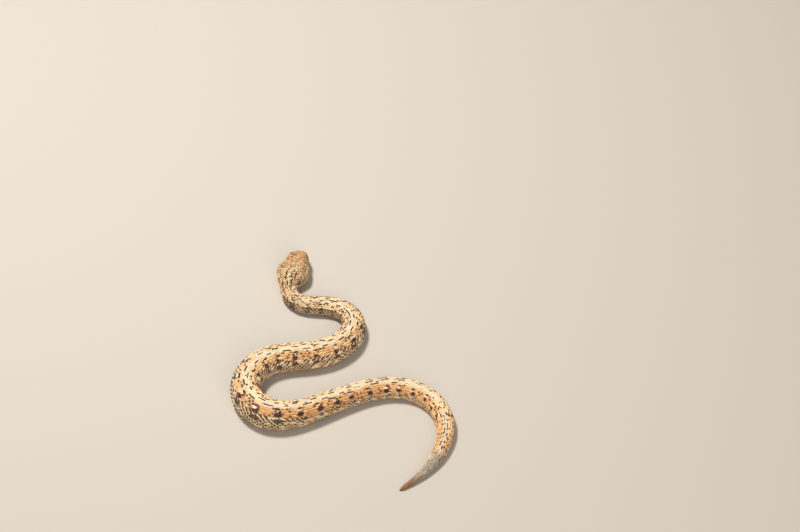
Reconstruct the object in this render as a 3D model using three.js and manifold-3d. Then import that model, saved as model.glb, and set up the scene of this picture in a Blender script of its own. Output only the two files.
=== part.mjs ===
// A Peringuey's adder (Bitis peringueyi), the dwarf sidewinding viper of the Namib dunes, at life size.
// It lies on flat ground in the open S of its glide, with its chin a little off the sand.
// Millimetres, +Z up, the ground at Z = 0. Lengths along the animal run from the snout to the tail tip.
import * as THREE from "three";
import { mergeVertices } from "three/addons/utils/BufferGeometryUtils.js";
import Module from "manifold-3d";

const TOTAL_LENGTH = 250;
const HEAD_LENGTH = 17.6; // snout to the cut behind the jaws
const TAIL_START = 223; // the vent

// The line that the animal lies along, seen from above. The middle of its box is the origin.
const SNOUT = { x: -16.68, y: 58.97 };
const HEAD_HEADING = -108.1; // degrees from +X, from the snout towards the neck
const BENDS = [
  { start: 10.0, length: 29.3, turn: 110.2 },
  { start: 26.8, length: 68.4, turn: -294.9 },
  { start: 43.0, length: 45.7, turn: 108.4 },
  { start: 72.8, length: 71.6, turn: 140.1 },
  { start: 109.3, length: 46.6, turn: 70.0 },
  { start: 153.4, length: 83.4, turn: -117.3 },
  { start: 190.2, length: 79.2, turn: -58.4 },
];

// Half width, height of the back over the belly, and height of the belly over the ground,
// at distances from the snout.
const STATIONS = [
  { at: 0, wide: 2.8, high: 4.4, lift: 1.4 },
  { at: 2.5, wide: 3.4, high: 5.2, lift: 1.3 },
  { at: 5.5, wide: 4.6, high: 6.0, lift: 1.2 },
  { at: 8, wide: 5.7, high: 6.4, lift: 1.1 },
  { at: 10.5, wide: 6.35, high: 6.6, lift: 1.0 },
  { at: 13, wide: 6.4, high: 6.7, lift: 0.95 },
  { at: 15.5, wide: 5.4, high: 6.4, lift: 0.9 },
  { at: 18, wide: 3.9, high: 6.0, lift: 0.8 },
  { at: 21, wide: 3.45, high: 5.8, lift: 0.6 },
  { at: 30, wide: 3.7, high: 6.1, lift: 0.15 },
  { at: 45, wide: 4.0, high: 6.8, lift: 0 },
  { at: 65, wide: 5.3, high: 8.8, lift: 0 },
  { at: 90, wide: 5.7, high: 9.5, lift: 0 },
  { at: 115, wide: 6.05, high: 10.1, lift: 0 },
  { at: 130, wide: 6.35, high: 10.5, lift: 0 },
  { at: 145, wide: 5.2, high: 8.8, lift: 0 },
  { at: 165, wide: 4.5, high: 7.6, lift: 0 },
  { at: 210, wide: 3.85, high: 6.4, lift: 0 },
  { at: 223, wide: 3.0, high: 5.0, lift: 0 },
  { at: 236, wide: 1.9, high: 3.3, lift: 0 },
  { at: 250, wide: 0.6, high: 1.1, lift: 0 },
];
const SNOUT_ROUNDING = { length: 3.4, power: 2.3 };
const TAIL_ROUNDING = { length: 3, power: 2 };
const WIDEST_AT = 0.42; // share of the height at which a section is widest
const CROWN_POWER = 2.5; // superellipse powers: a flat crown, a rounder back, a full belly
const BACK_POWER = 2.1;
const BELLY_POWER = 2.7;
const BELLY_PRESS = 0.08; // how far the ground flattens the belly, as a share of the half width

// The eyes sit on top of the head and look up and out.
const EYE_RADIUS = 1.05;
const EYE = { along: 4.4, angle: 45, sink: 0.35 }; // angle in degrees from the midline of the crown
const EYE_GAP = 0.08;
const BROW = { height: 0.3, radius: 1.45, spread: 0.5 };
const NOSTRIL = { along: 1.2, angle: 58, radius: 0.32 };

// The mouth is shut. A thin cut along the lips parts the lower jaw from the head.
const MOUTH = { cut: 0.2, front: 1.5, rise: 0.5, corner: 13 }; // heights are above the chin line
const PART_GAP = 0.3; // between neighbouring lengths of the body

const HEAD_STEP = 0.8;
const BODY_STEP = 2.5;
const AROUND = 28;

// Where the trunk and tail are divided, so that no length bends far round a space.
const LENGTHS = [
  ["neck", HEAD_LENGTH, 36],
  ["trunk_1", 36, 54],
  ["trunk_2", 54, 70],
  ["trunk_3", 70, 92],
  ["trunk_4", 92, 112],
  ["trunk_5", 112, 128],
  ["trunk_6", 128, 144],
  ["trunk_7", 144, 182],
  ["trunk_8", 182, 204],
  ["trunk_9", 204, TAIL_START],
  ["tail", TAIL_START, TOTAL_LENGTH],
];

const SCALES = { colour: 0xcdb48f, roughness: 0.75 };
const TAIL_SCALES = { colour: 0x8d8a84, roughness: 0.75 };
const EYE_SURFACE = { colour: 0x8a7a5c, roughness: 0.15 };

// --- the line of the body ---

const degrees = THREE.MathUtils.degToRad;

// How much of a bend is done at a share t of its length: it starts and ends with no curvature.
function bendShare(t) {
  const u = THREE.MathUtils.clamp(t, 0, 1);
  return u - Math.sin(2 * Math.PI * u) / (2 * Math.PI);
}

function headingAt(s) {
  let heading = HEAD_HEADING;
  for (const bend of BENDS) heading += bend.turn * bendShare((s - bend.start) / bend.length);
  return degrees(heading);
}

const SPINE_STEP = 0.25;
const spine = [{ x: SNOUT.x, y: SNOUT.y }];
for (let s = 0; s < TOTAL_LENGTH; s += SPINE_STEP) {
  const heading = headingAt(s + SPINE_STEP / 2);
  const last = spine[spine.length - 1];
  spine.push({
    x: last.x + SPINE_STEP * Math.cos(heading),
    y: last.y + SPINE_STEP * Math.sin(heading),
  });
}

function spineAt(s) {
  const place = THREE.MathUtils.clamp(s / SPINE_STEP, 0, spine.length - 1.001);
  const i = Math.floor(place);
  const [a, b] = [spine[i], spine[i + 1]];
  return {
    x: THREE.MathUtils.lerp(a.x, b.x, place - i),
    y: THREE.MathUtils.lerp(a.y, b.y, place - i),
    heading: headingAt(s),
  };
}

// --- the section of the body ---

// A smooth curve through one size of the stations.
function station(size, s) {
  let i = 0;
  while (i < STATIONS.length - 2 && s > STATIONS[i + 1].at) i += 1;
  const slope = (k) => {
    const low = STATIONS[Math.max(k - 1, 0)];
    const high = STATIONS[Math.min(k + 1, STATIONS.length - 1)];
    return (high[size] - low[size]) / (high.at - low.at);
  };
  const [a, b] = [STATIONS[i], STATIONS[i + 1]];
  const span = b.at - a.at;
  const t = (s - a.at) / span;
  const rise = b[size] - a[size];
  const [in0, in1] = [slope(i) * span - rise, rise - slope(i + 1) * span];
  return a[size] + rise * t + t * (1 - t) * (in0 * (1 - t) + in1 * t);
}

// 0 at a rounded tip, 1 where its rounding ends.
function tipShare(distance, rounding) {
  const left = 1 - THREE.MathUtils.clamp(distance / rounding.length, 0, 1);
  return Math.pow(1 - Math.pow(left, rounding.power), 1 / rounding.power);
}

function sectionAt(s) {
  const tip = tipShare(s, SNOUT_ROUNDING) * tipShare(TOTAL_LENGTH - s, TAIL_ROUNDING);
  const height = station("high", s);
  const side = WIDEST_AT * height;
  const headShare = 1 - THREE.MathUtils.smoothstep(s, HEAD_LENGTH - 4, HEAD_LENGTH + 6);
  const tailLift = 1 - tipShare(TOTAL_LENGTH - s, TAIL_ROUNDING);
  return {
    halfWidth: station("wide", s) * tip,
    side,
    above: (height - side) * tip,
    below: (side + BELLY_PRESS * station("wide", s)) * tip,
    floor: side * (1 - tip),
    lift: Math.max(station("lift", s), 0) - side * tailLift,
    backPower: THREE.MathUtils.lerp(BACK_POWER, CROWN_POWER, headShare),
  };
}

// The point of a section at an angle from its top, positive to the animal's right: sideways and up.
function outline(section, angle) {
  const [sine, cosine] = [Math.sin(angle), Math.cos(angle)];
  const power = 2 / (cosine > 0 ? section.backPower : BELLY_POWER);
  const across = section.halfWidth * Math.sign(sine) * Math.abs(sine) ** power;
  const up = Math.abs(cosine) ** power;
  const level = cosine > 0 ? section.side + section.above * up : section.side - section.below * up;
  return [across, Math.max(level, section.floor) + section.lift];
}

// From distance along, sideways and up to the model's own frame.
function placed(s, across, up) {
  const { x, y, heading } = spineAt(s);
  return new THREE.Vector3(x - across * Math.sin(heading), y + across * Math.cos(heading), up);
}

function bareSkin(s, angle) {
  return placed(s, ...outline(sectionAt(s), angle));
}

// Outwards from the skin, by its slope along and round the body.
function skinNormal(s, angle) {
  const reach = 0.05;
  const along = bareSkin(s + reach, angle).sub(bareSkin(s - reach, angle));
  const round = bareSkin(s, angle + reach).sub(bareSkin(s, angle - reach));
  return along.cross(round).normalize();
}

function sunkPoint(spot, side, sink) {
  const angle = side * degrees(spot.angle);
  return bareSkin(spot.along, angle).addScaledVector(skinNormal(spot.along, angle), -sink);
}

const SIDES = { left: -1, right: 1 };
const eyeCentres = Object.values(SIDES).map((side) => sunkPoint(EYE, side, EYE.sink));

// The skin with the raised ring of brow round each eye.
function skinPoint(s, angle) {
  const point = bareSkin(s, angle);
  if (s > HEAD_LENGTH || s < 1) return point;
  const normal = skinNormal(s, angle);
  for (const centre of eyeCentres) {
    const off = (point.distanceTo(centre) - BROW.radius) / BROW.spread;
    point.addScaledVector(normal, BROW.height * Math.exp(-off * off));
  }
  return point;
}

// --- solids ---

const wasm = await Module();
wasm.setup();

function solidFrom(geometry) {
  const bare = geometry.clone();
  bare.deleteAttribute("normal");
  bare.deleteAttribute("uv");
  const merged = mergeVertices(bare, 1e-4);
  return new wasm.Manifold(
    new wasm.Mesh({
      numProp: 3,
      vertProperties: new Float32Array(merged.attributes.position.array),
      triVerts: new Uint32Array(merged.index.array),
    }),
  );
}

function geometryFrom(solid) {
  const mesh = solid.getMesh();
  const positions = new Float32Array(mesh.numVert * 3);
  for (let i = 0; i < mesh.numVert; i += 1) {
    const start = i * mesh.numProp;
    positions.set(mesh.vertProperties.subarray(start, start + 3), i * 3);
  }
  const geometry = new THREE.BufferGeometry();
  geometry.setAttribute("position", new THREE.BufferAttribute(positions, 3));
  geometry.setIndex(new THREE.BufferAttribute(mesh.triVerts, 1));
  geometry.computeVertexNormals();
  return geometry;
}

// Distances from first to last, even, and crowded towards a rounded tip.
function distances(first, last, step) {
  const count = Math.max(2, Math.round((last - first) / step));
  const found = [];
  for (let i = 0; i <= count; i += 1) found.push(first + ((last - first) * i) / count);
  if (first === 0) found.splice(1, 1, 0.12, 0.4, HEAD_STEP);
  if (last === TOTAL_LENGTH) found.splice(-1, 1, last - 1.2, last - 0.4, last);
  return found;
}

// A closed length of the body. Its ends are flat, or a point at the snout and the tail tip.
function bodyLength(first, last, step) {
  const points = [];
  const faces = [];
  const add = (point) => points.push(point.x, point.y, point.z) / 3 - 1;
  const stops = distances(first, last, step);
  const rings = stops.map((s) => {
    if (s === 0 || s === TOTAL_LENGTH) return [add(bareSkin(s, 0))];
    const ring = [];
    for (let i = 0; i < AROUND; i += 1) ring.push(add(skinPoint(s, (2 * Math.PI * i) / AROUND)));
    return ring;
  });
  const corner = (ring, i) => ring[i % ring.length];
  for (let k = 0; k + 1 < rings.length; k += 1) {
    const [a, b] = [rings[k], rings[k + 1]];
    for (let i = 0; i < AROUND; i += 1) {
      if (a.length > 1) faces.push(corner(a, i), corner(b, i), corner(a, i + 1));
      if (b.length > 1) faces.push(corner(a, i + 1), corner(b, i), corner(b, i + 1));
    }
  }
  const close = (ring, s, turned) => {
    if (ring.length === 1) return;
    const section = sectionAt(s);
    const middle = add(placed(s, 0, section.side + section.lift));
    for (let i = 0; i < AROUND; i += 1) {
      const edge = [corner(ring, i), corner(ring, i + 1)];
      faces.push(middle, ...(turned ? edge.reverse() : edge));
    }
  };
  close(rings[0], stops[0], false);
  close(rings[rings.length - 1], stops[stops.length - 1], true);
  const geometry = new THREE.BufferGeometry();
  geometry.setAttribute("position", new THREE.Float32BufferAttribute(points, 3));
  geometry.setIndex(faces);
  geometry.computeVertexNormals();
  return geometry;
}

function ball(radius, centre) {
  const geometry = new THREE.SphereGeometry(radius, 18, 12);
  geometry.translate(centre.x, centre.y, centre.z);
  return geometry;
}

// The gap between the lips, which turns down behind the corner of the mouth. It is drawn in side view.
function mouthCut() {
  const lips = (s) => station("lift", s) + MOUTH.front + MOUTH.rise * Math.sin((Math.PI * s) / MOUTH.corner);
  const steps = 14;
  const line = [];
  for (let i = -1; i <= steps; i += 1) line.push((MOUTH.corner * i) / steps);
  const back = MOUTH.corner + MOUTH.cut;
  const below = -3;
  const shape = new THREE.Shape();
  shape.moveTo(line[0], lips(0));
  for (const s of line) shape.lineTo(s, lips(Math.max(s, 0)) + MOUTH.cut / 2);
  shape.lineTo(back, lips(MOUTH.corner) + MOUTH.cut / 2);
  shape.lineTo(back, below);
  shape.lineTo(MOUTH.corner, below);
  for (const s of line.toReversed()) shape.lineTo(s, lips(Math.max(s, 0)) - MOUTH.cut / 2);
  const width = 20;
  const slab = new THREE.ExtrudeGeometry(shape, { depth: width, bevelEnabled: false });
  slab.translate(0, 0, -width / 2);
  const heading = headingAt(0);
  const along = new THREE.Vector3(Math.cos(heading), Math.sin(heading), 0);
  const up = new THREE.Vector3(0, 0, 1);
  const across = new THREE.Vector3().crossVectors(along, up);
  const place = new THREE.Matrix4().makeBasis(along, up, across).setPosition(SNOUT.x, SNOUT.y, 0);
  return slab.applyMatrix4(place);
}

// --- the animal ---

function sub(name, geometry, surface) {
  const material = new THREE.MeshStandardMaterial({
    color: surface.colour,
    roughness: surface.roughness,
    metalness: 0,
  });
  const mesh = new THREE.Mesh(geometry, material);
  mesh.name = name;
  return mesh;
}

const adder = new THREE.Group();
adder.name = "adder";

let skull = solidFrom(bodyLength(0, HEAD_LENGTH - PART_GAP / 2, HEAD_STEP));
for (const centre of eyeCentres) skull = skull.subtract(solidFrom(ball(EYE_RADIUS + EYE_GAP, centre)));
for (const side of Object.values(SIDES)) {
  skull = skull.subtract(solidFrom(ball(NOSTRIL.radius, sunkPoint(NOSTRIL, side, 0))));
}
const jaws = skull.subtract(solidFrom(mouthCut())).decompose();
jaws.sort((a, b) => b.volume() - a.volume());
adder.add(sub("head", geometryFrom(jaws[0]), SCALES));
adder.add(sub("lower_jaw", geometryFrom(jaws[1]), SCALES));

for (const [i, side] of Object.keys(SIDES).entries()) {
  adder.add(sub("eye_" + side, ball(EYE_RADIUS, eyeCentres[i]), EYE_SURFACE));
}

for (const [name, first, last] of LENGTHS) {
  const end = last === TOTAL_LENGTH ? last : last - PART_GAP / 2;
  const surface = name === "tail" ? TAIL_SCALES : SCALES;
  adder.add(sub(name, bodyLength(first + PART_GAP / 2, end, BODY_STEP), surface));
}

export default adder;
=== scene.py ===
from math import cos, pi, radians, sin

import bpy
import numpy as np
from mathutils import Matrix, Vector
from mathutils.bvhtree import BVHTree


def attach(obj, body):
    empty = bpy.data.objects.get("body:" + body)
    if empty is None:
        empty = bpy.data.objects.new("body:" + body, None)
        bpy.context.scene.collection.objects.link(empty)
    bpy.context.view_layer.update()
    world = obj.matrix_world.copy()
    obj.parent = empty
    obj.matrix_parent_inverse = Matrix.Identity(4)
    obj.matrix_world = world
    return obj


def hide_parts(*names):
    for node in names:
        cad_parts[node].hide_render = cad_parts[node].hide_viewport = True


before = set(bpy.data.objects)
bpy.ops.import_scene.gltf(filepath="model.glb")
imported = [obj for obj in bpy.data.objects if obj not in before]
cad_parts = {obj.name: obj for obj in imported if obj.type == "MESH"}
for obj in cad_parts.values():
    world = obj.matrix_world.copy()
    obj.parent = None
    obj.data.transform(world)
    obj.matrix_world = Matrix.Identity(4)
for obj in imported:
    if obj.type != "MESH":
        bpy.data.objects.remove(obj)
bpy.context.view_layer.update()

# --- Floor, light and camera ---
# A plain pale floor under one soft light from high up beyond the animal, and a weak fill from the front.
# The camera looks down from 50 degrees above the ground, from behind the tail, through a long lens.

MM = 0.001  # every size in this file is in millimetres until it becomes a mesh
bpy.context.scene.view_settings.view_transform = "Standard"


def paint(red, green, blue):
    """A colour from its 0 to 255 screen values, as the linear colour that a shader takes."""
    values = np.array([red, green, blue]) / 255
    linear = np.where(values > 0.04045, ((values + 0.055) / 1.055) ** 2.4, values / 12.92)
    return (*linear.tolist(), 1.0)


def put(tree, kind, inputs=(), **settings):
    """Adds a node, with each input a value or another node's output."""
    node = tree.nodes.new(kind)
    for name, value in settings.items():
        setattr(node, name, value)
    for socket, value in dict(inputs).items():
        if isinstance(value, bpy.types.NodeSocket):
            tree.links.new(value, node.inputs[socket])
        else:
            node.inputs[socket].default_value = value
    return node


def new_material(name):
    material = bpy.data.materials.new(name)
    material.use_nodes = True
    material.node_tree.nodes.clear()
    return material, material.node_tree


def give_surface(tree, inputs):
    """Ends a material in its one shader."""
    shader = put(tree, "ShaderNodeBsdfPrincipled", inputs)
    put(tree, "ShaderNodeOutputMaterial", {"Surface": shader.outputs[0]})


def show(name, mesh):
    """Puts a mesh in the scene as an object at the origin, shaded smooth."""
    mesh.polygons.foreach_set("use_smooth", [True] * len(mesh.polygons))
    piece = bpy.data.objects.new(name, mesh)
    bpy.context.scene.collection.objects.link(piece)
    return piece


def new_piece(name, points, faces, material):
    """A piece from points in millimetres, as a mesh in metres."""
    mesh = bpy.data.meshes.new(name)
    mesh.from_pydata((np.asarray(points) * MM).tolist(), [], faces)
    mesh.materials.append(material)
    return show(name, mesh)


def aim(thing, place, target):
    thing.location = Vector(place) * MM
    thing.rotation_euler = (Vector(target) - Vector(place)).to_track_quat("-Z", "Y").to_euler()
    bpy.context.scene.collection.objects.link(thing)


FLOOR_HALF = 4000
FLOOR_DROP = 0.03  # under the belly, so that the two surfaces don't share a plane
FLOOR_PAINT = paint(200, 190, 176)
floor_material, floor_tree = new_material("pale_floor")
give_surface(floor_tree, {"Base Color": FLOOR_PAINT, "Roughness": 0.9})
floor_corners = np.array([(-1, -1, 0), (1, -1, 0), (1, 1, 0), (-1, 1, 0)]) * FLOOR_HALF
floor_points = floor_corners - [0, 0, FLOOR_DROP]
new_piece("floor", floor_points, [(0, 1, 2, 3)], floor_material)

LIGHTS = {  # place, size and watts
    "high_light": ((-230, 250, 710), 170, 6.3),
    "low_fill": ((200, -620, 420), 500, 1.8),
}
for light_name, (light_place, light_size, watts) in LIGHTS.items():
    lamp = bpy.data.lights.new(light_name, "AREA")
    lamp.shape = "DISK"
    lamp.size = light_size * MM
    lamp.energy = watts
    aim(bpy.data.objects.new(light_name, lamp), light_place, (0, 0, 0))

world = bpy.data.worlds.new("studio")
world.use_nodes = True
sky = world.node_tree.nodes["Background"].inputs
sky["Color"].default_value = (1.0, 0.98, 0.95, 1.0)
sky["Strength"].default_value = 0.27
bpy.context.scene.world = world

VIEW_CENTRE = Vector((22.66, 54.61, 0))
VIEW_DISTANCE = 1793
VIEW_HEIGHT_ANGLE = radians(50)
camera = bpy.data.cameras.new("camera")
camera.lens = 200
camera.sensor_width = 36
view_back = Vector((0, -cos(VIEW_HEIGHT_ANGLE), sin(VIEW_HEIGHT_ANGLE))) * VIEW_DISTANCE
camera_object = bpy.data.objects.new("camera", camera)
aim(camera_object, VIEW_CENTRE + view_back, VIEW_CENTRE)
bpy.context.scene.camera = camera_object

# --- Skin ---
# One thin dry skin from the snout to the tail tip, with no seam. It follows the animal's bends, is raised
# round the eyes, parted at the lips and folded on the inside of tight bends. The scales grow out of it.

TOTAL_LENGTH = 250.0
HEAD_LENGTH = 17.6
SNOUT = (-16.68, 58.97)
HEAD_HEADING = -108.1  # degrees from +X, from the snout towards the neck
BENDS = [  # start, length, degrees turned
    (10.0, 29.3, 110.2), (26.8, 68.4, -294.9), (43.0, 45.7, 108.4), (72.8, 71.6, 140.1),
    (109.3, 46.6, 70.0), (153.4, 83.4, -117.3), (190.2, 79.2, -58.4),
]
STATIONS = [  # distance along, half width, height, height over the ground
    (0, 2.8, 4.4, 1.4), (2.5, 3.4, 5.2, 1.3), (5.5, 4.6, 6.0, 1.2), (8, 5.7, 6.4, 1.1),
    (10.5, 6.35, 6.6, 1.0), (13, 6.4, 6.7, 0.95), (15.5, 5.4, 6.4, 0.9), (18, 3.9, 6.0, 0.8),
    (21, 3.45, 5.8, 0.6), (30, 3.7, 6.1, 0.15), (45, 4.0, 6.8, 0), (65, 5.3, 8.8, 0),
    (90, 5.7, 9.5, 0), (115, 6.05, 10.1, 0), (130, 6.35, 10.5, 0), (145, 5.2, 8.8, 0),
    (165, 4.5, 7.6, 0), (210, 3.85, 6.4, 0), (223, 3.0, 5.0, 0), (236, 1.9, 3.3, 0),
    (250, 0.6, 1.1, 0),
]
WIDE, HIGH, LIFT = 1, 2, 3
SNOUT_ROUNDING, SNOUT_POWER = 3.4, 2.3
TAIL_ROUNDING, TAIL_POWER = 3.0, 2
WIDEST_AT = 0.42  # share of the height
CROWN_POWER, BACK_POWER, BELLY_POWER = 2.5, 2.1, 2.7  # 2 is round, and more is squarer
BELLY_PRESS = 0.08


def ramp(low, high, x):
    """0 up to low, 1 from high on, and smooth between them."""
    t = np.clip((x - low) / (high - low), 0, 1)
    return t * t * (3 - 2 * t)


def bump(distance, width):
    return np.exp(-((distance / width) ** 2))


def heading(along):
    turned = HEAD_HEADING
    for start, length, turn in BENDS:
        t = np.clip((along - start) / length, 0, 1)
        turned = turned + turn * (t - np.sin(2 * pi * t) / (2 * pi))
    return np.radians(turned)


LINE_STEP = 0.25
line_stops = np.arange(0, TOTAL_LENGTH + LINE_STEP, LINE_STEP)
line_headings = heading(line_stops[:-1] + LINE_STEP / 2)
line_x = SNOUT[0] + np.append(0, np.cumsum(np.cos(line_headings) * LINE_STEP))
line_y = SNOUT[1] + np.append(0, np.cumsum(np.sin(line_headings) * LINE_STEP))


def station(column, along, table=STATIONS):
    """A smooth curve through one column of a table whose first column is the distance along."""
    at = np.array([row[0] for row in table], float)
    size = np.array([row[column] for row in table], float)
    last = len(at) - 1
    low = np.maximum(np.arange(last + 1) - 1, 0)
    high = np.minimum(np.arange(last + 1) + 1, last)
    slope = (size[high] - size[low]) / (at[high] - at[low])
    i = np.clip(np.searchsorted(at, along, side="right") - 1, 0, last - 1)
    span = at[i + 1] - at[i]
    t = np.clip((along - at[i]) / span, 0, 1)
    rise = size[i + 1] - size[i]
    bend_in = slope[i] * span - rise
    bend_out = rise - slope[i + 1] * span
    return size[i] + rise * t + t * (1 - t) * (bend_in * (1 - t) + bend_out * t)


def tip_share(distance, length, power):
    left = 1 - np.clip(distance / length, 0, 1)
    return (1 - left**power) ** (1 / power)


def outline(along, angle):
    """Sideways and up at an angle from the top of the back, positive to the animal's right."""
    tail_tip = tip_share(TOTAL_LENGTH - along, TAIL_ROUNDING, TAIL_POWER)
    tip = tip_share(along, SNOUT_ROUNDING, SNOUT_POWER) * tail_tip
    wide, high = station(WIDE, along), station(HIGH, along)
    side = WIDEST_AT * high
    crown = 1 - ramp(HEAD_LENGTH - 4, HEAD_LENGTH + 6, along)
    upper = np.cos(angle) > 0
    power = 2 / np.where(upper, BACK_POWER + (CROWN_POWER - BACK_POWER) * crown, BELLY_POWER)
    across = wide * tip * np.sign(np.sin(angle)) * np.abs(np.sin(angle)) ** power
    share = np.abs(np.cos(angle)) ** power
    above, below = (high - side) * tip, (side + BELLY_PRESS * wide) * tip
    level = np.where(upper, side + above * share, side - below * share)
    lift = np.maximum(station(LIFT, along), 0) - side * (1 - tail_tip)
    return across, np.maximum(level, side * (1 - tip)) + lift


def placed(along, across, up):
    """From along, sideways and up to the model's own frame."""
    turned = heading(along)
    x = np.interp(along, line_stops, line_x) - across * np.sin(turned)
    y = np.interp(along, line_stops, line_y) + across * np.cos(turned)
    return np.stack(np.broadcast_arrays(x, y, up), -1)


# Over the round snout the skin is longer than the distance along, so places on it are told by their reach:
# the length of skin from the tip of the snout, along the middle of the crown.
SNOUT_SKIN = 4.6
SNOUT_EXTRA = SNOUT_SKIN - SNOUT_ROUNDING
SKIN_LENGTH = TOTAL_LENGTH + SNOUT_EXTRA


def along_at(reach):
    turn = np.clip(reach / SNOUT_SKIN, 0, 1) * pi / 2
    rounded = SNOUT_ROUNDING * (1 - np.cos(turn) ** (2 / SNOUT_POWER))
    return np.where(reach < SNOUT_SKIN, rounded, reach - SNOUT_EXTRA)


AROUND = 128
HEAD_ROW, BODY_ROW = 0.18, 0.5
FIRST_ROW = 0.05
TAIL_ROWS = (2.4, 1.8, 1.3, 0.9, 0.6, 0.35, 0.15, 0.03)  # from the tail tip
head_rows = np.arange(FIRST_ROW, HEAD_LENGTH + 5, HEAD_ROW)
body_rows = np.arange(head_rows[-1] + BODY_ROW, SKIN_LENGTH - TAIL_ROWS[0] - BODY_ROW / 2, BODY_ROW)
row_reach = np.concatenate([head_rows, body_rows, SKIN_LENGTH - np.array(TAIL_ROWS)])
row_along = along_at(row_reach)
rows_count = len(row_reach)
shares = -1 + 2 * np.arange(AROUND) / AROUND  # of the half girth, from the belly's middle round to it again

fan = np.linspace(0, pi, 241)
fan_across, fan_up = outline(row_along[:, None], fan)
fan_steps = np.hypot(np.diff(fan_across), np.diff(fan_up))
fan_arc = np.concatenate([np.zeros((rows_count, 1)), np.cumsum(fan_steps, 1)], 1)
row_half_girth = fan_arc[:, -1]
row_angles = np.stack([np.interp(abs(shares), arc / arc[-1], fan) for arc in fan_arc]) * np.sign(shares)
grid_across, grid_up = outline(row_along[:, None], row_angles)
outer_skin = placed(row_along[:, None], grid_across, grid_up)


def outwards(grid):
    along = np.gradient(grid, row_reach, axis=0)
    around = np.roll(grid, -1, 1) - np.roll(grid, 1, 1)
    normal = np.cross(along, around)
    return normal / np.linalg.norm(normal, axis=-1, keepdims=True)


def on_grid(field, reach, share):
    """A field of the skin's grid, at any reach and share of the half girth."""
    i = np.interp(reach, row_reach, np.arange(rows_count))
    j = (share + 1) / 2 * AROUND
    i0 = np.minimum(i.astype(int), rows_count - 2)
    j0 = np.floor(j).astype(int)
    u, v = i - i0, j - j0
    if field.ndim == 3:
        u, v = u[..., None], v[..., None]
    left, right = j0 % AROUND, (j0 + 1) % AROUND
    near = field[i0, left] * (1 - v) + field[i0, right] * v
    far = field[i0 + 1, left] * (1 - v) + field[i0 + 1, right] * v
    return near * (1 - u) + far * u


def at_spot(field, spot):
    """A field of the skin's grid at one spot, told by its reach and share."""
    return on_grid(field, *(np.array([value]) for value in spot))[0]


def half_girth(reach):
    return np.interp(reach, row_reach, row_half_girth)


def reach_at(along):
    return np.interp(along, row_along, row_reach)


def spot_at(along, angle):
    return reach_at(along), np.interp(angle, row_angles[np.argmin(abs(row_along - along))], shares)


SCALE_STATIONS = [  # distance along, distance between scales along a row, distance between rows
    (0, 0.70, 0.56), (6, 0.80, 0.62), (14, 1.00, 0.68), (22, 1.25, 0.66), (36, 1.45, 0.74),
    (60, 1.58, 0.92), (90, 1.60, 1.00), (120, 1.62, 1.04), (145, 1.60, 0.96), (165, 1.58, 0.88),
    (210, 1.50, 0.80), (223, 1.32, 0.70), (236, 1.05, 0.52), (250, 0.70, 0.30),
]


def scale_pitch(along):
    return station(1, along, SCALE_STATIONS)


def row_pitch(along):
    return station(2, along, SCALE_STATIONS)


SIDES = {"left": -1, "right": 1}
EYE_ALONG, EYE_ANGLE, EYE_SINK, EYE_RADIUS = 4.4, radians(45), 0.35, 1.05
NOSTRIL_ALONG, NOSTRIL_ANGLE = 1.2, radians(58)
outer_normal = outwards(outer_skin)
eye_spots, nostril_spots = {}, {}
eyes = {}  # centre and outward axis
for side_name, side in SIDES.items():
    eye_spots[side_name] = spot_at(EYE_ALONG, side * EYE_ANGLE)
    nostril_spots[side_name] = spot_at(NOSTRIL_ALONG, side * NOSTRIL_ANGLE)
    axis = at_spot(outer_normal, eye_spots[side_name])
    eyes[side_name] = (at_spot(outer_skin, eye_spots[side_name]) - EYE_SINK * axis, axis)

COAT_DEPTH = 0.19  # how deep the skin lies below the scales, as a share of the distance between them
TIP_COAT = 0.6  # share of that depth over the tail tip
BROW_HEIGHT, BROW_RADIUS, BROW_SPREAD = 0.3, 1.45, 0.5
RING_HEIGHT, RING_RADIUS, RING_SPREAD = 0.14, 0.55, 0.22  # of the raised skin round a nostril
NOSTRIL_DEPTH, NOSTRIL_RADIUS = 0.4, 0.3
MOUTH_FRONT, MOUTH_RISE = 1.5, 0.5  # heights over the chin
MOUTH_CORNER = 13  # distance along
LIP_PART, LIP_DEPTH = 0.13, 0.22
LEVEL_SKIN = 0.93  # the lips part only in skin that is steeper than this
FURROW_DEPTH, FURROW_HALF, FURROW_ALONG, FURROW_LENGTH = 0.16, 0.9, 5.5, 3.5  # along the crown
CHEEK_SWELL, CHEEK_ALONG, CHEEK_LENGTH, CHEEK_ACROSS, CHEEK_WIDTH = 0.18, 12, 2.2, 5.4, 1.6
FOLD_DEPTH, FOLD_PITCH = 0.22, 2.6
FOLD_FROM = 0.8  # folds form inside a bend, where the skin is pressed to this share of its length


def lip_level(along):
    rise = MOUTH_RISE * np.sin(pi * np.clip(along / MOUTH_CORNER, 0, 1))
    return station(LIFT, along) + MOUTH_FRONT + rise


along_grid = np.broadcast_to(row_along[:, None], grid_across.shape)
curvature = np.gradient(heading(row_along), row_along)[:, None]
squeeze = 1 - grid_across * curvature  # length of skin for each length of midline
to_tip = TOTAL_LENGTH - along_grid
tip_coat = TIP_COAT * tip_share(to_tip, TAIL_ROUNDING / 2, TAIL_POWER)
swell = -COAT_DEPTH * scale_pitch(along_grid) * np.where(to_tip < TAIL_ROUNDING, tip_coat, 1)
for side_name in SIDES:
    off_eye = np.linalg.norm(outer_skin - eyes[side_name][0], axis=-1)
    swell += BROW_HEIGHT * bump(off_eye - BROW_RADIUS, BROW_SPREAD) * (along_grid < HEAD_LENGTH)
    off_nostril = np.linalg.norm(outer_skin - at_spot(outer_skin, nostril_spots[side_name]), axis=-1)
    swell += RING_HEIGHT * bump(off_nostril - RING_RADIUS, RING_SPREAD)
    swell -= NOSTRIL_DEPTH * bump(off_nostril, NOSTRIL_RADIUS)
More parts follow.
